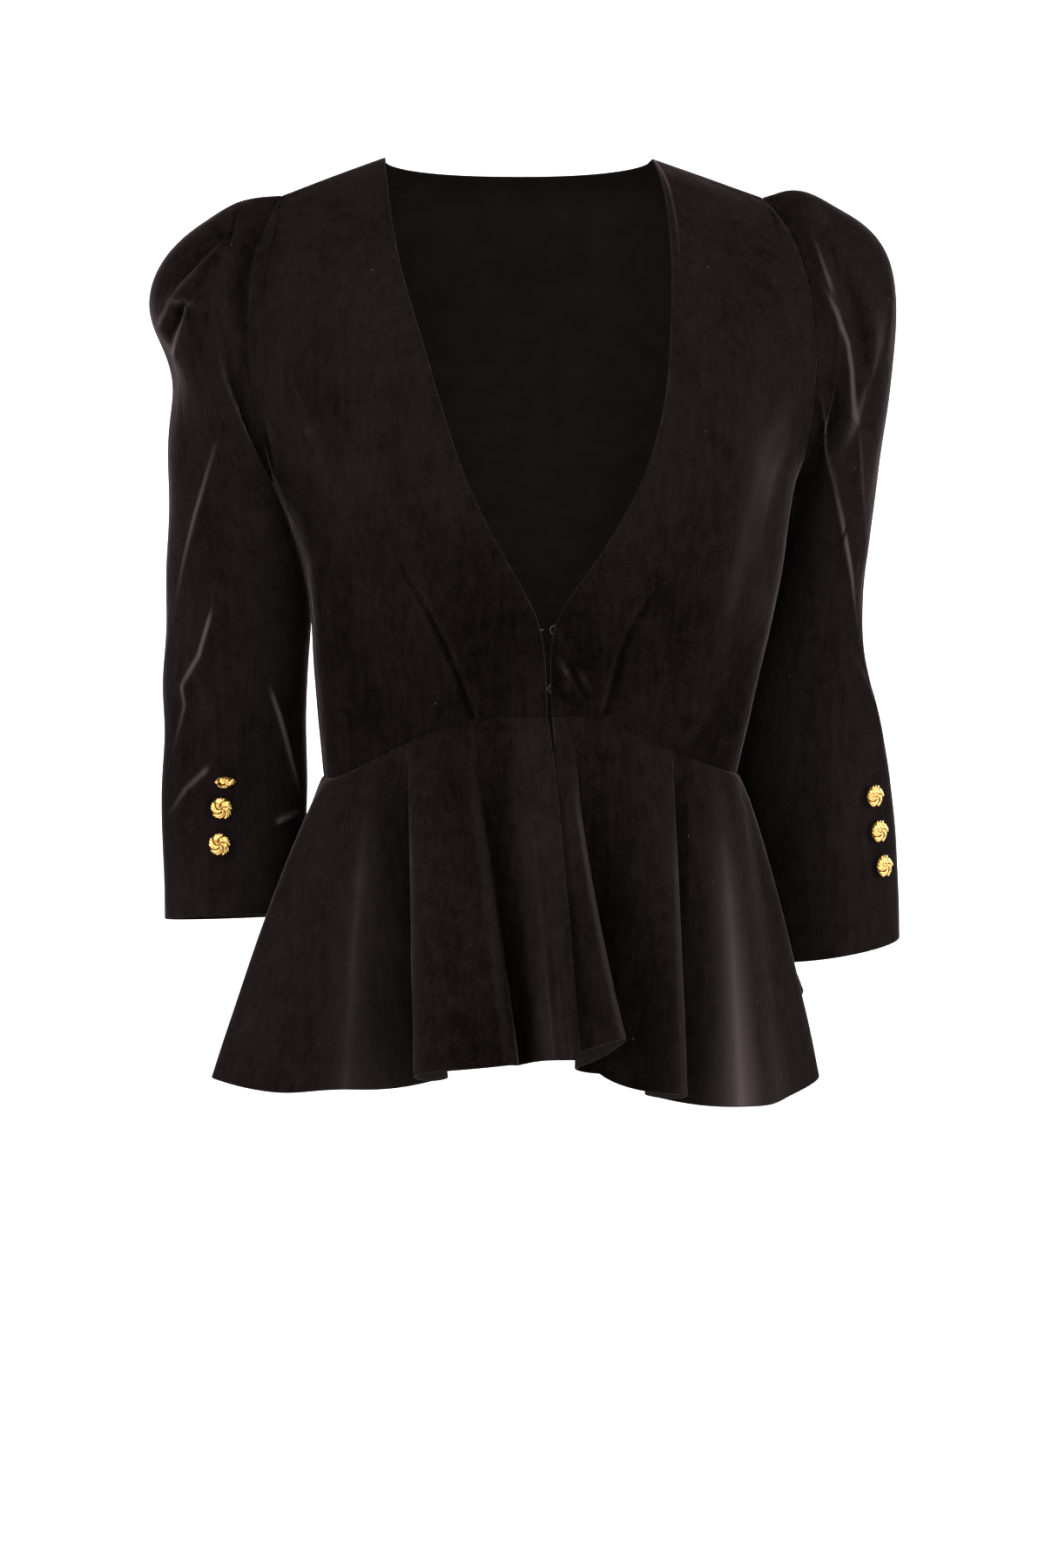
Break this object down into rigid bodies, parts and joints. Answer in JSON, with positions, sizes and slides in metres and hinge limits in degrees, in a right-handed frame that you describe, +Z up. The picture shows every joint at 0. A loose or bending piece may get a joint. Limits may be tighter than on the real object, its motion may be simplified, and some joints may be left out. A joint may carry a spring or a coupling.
{
  "type": "velvet jacket",
  "caption": "Fitted velvet jacket with a deep V neck, puffed three-quarter sleeves with gilt cuff buttons, hooks and eyes at the front and a fluted peplum, in its hollow worn shape.",
  "frame": {"origin": "middle of the shoulder line, level with the neck points, where the wearer's shoulders carry the jacket", "axes": "+Z up, front faces -Y, +X towards the wearer's left"},
  "size_m": [0.5296, 0.3528, 0.6415],
  "materials": {
    "velvet": "short-pile velvet, near black with a brown-plum sheen",
    "gilt": "polished gilt",
    "black_steel": "black japanned wire"
  },
  "bodies": {
    "root": {"front_right": "velvet", "front_left": "velvet", "back": "velvet", "upper_sleeve_right": "velvet", "under_sleeve_right": "velvet", "upper_sleeve_left": "velvet", "under_sleeve_left": "velvet", "peplum_front_right": "velvet", "peplum_front_left": "velvet", "peplum_back": "velvet", "button_right_1": "gilt", "button_right_2": "gilt", "button_right_3": "gilt", "button_left_1": "gilt", "button_left_2": "gilt", "button_left_3": "gilt", "hook_upper": "black_steel", "eye_upper": "black_steel", "hook_lower": "black_steel", "eye_lower": "black_steel"}
  },
  "joints": []
}
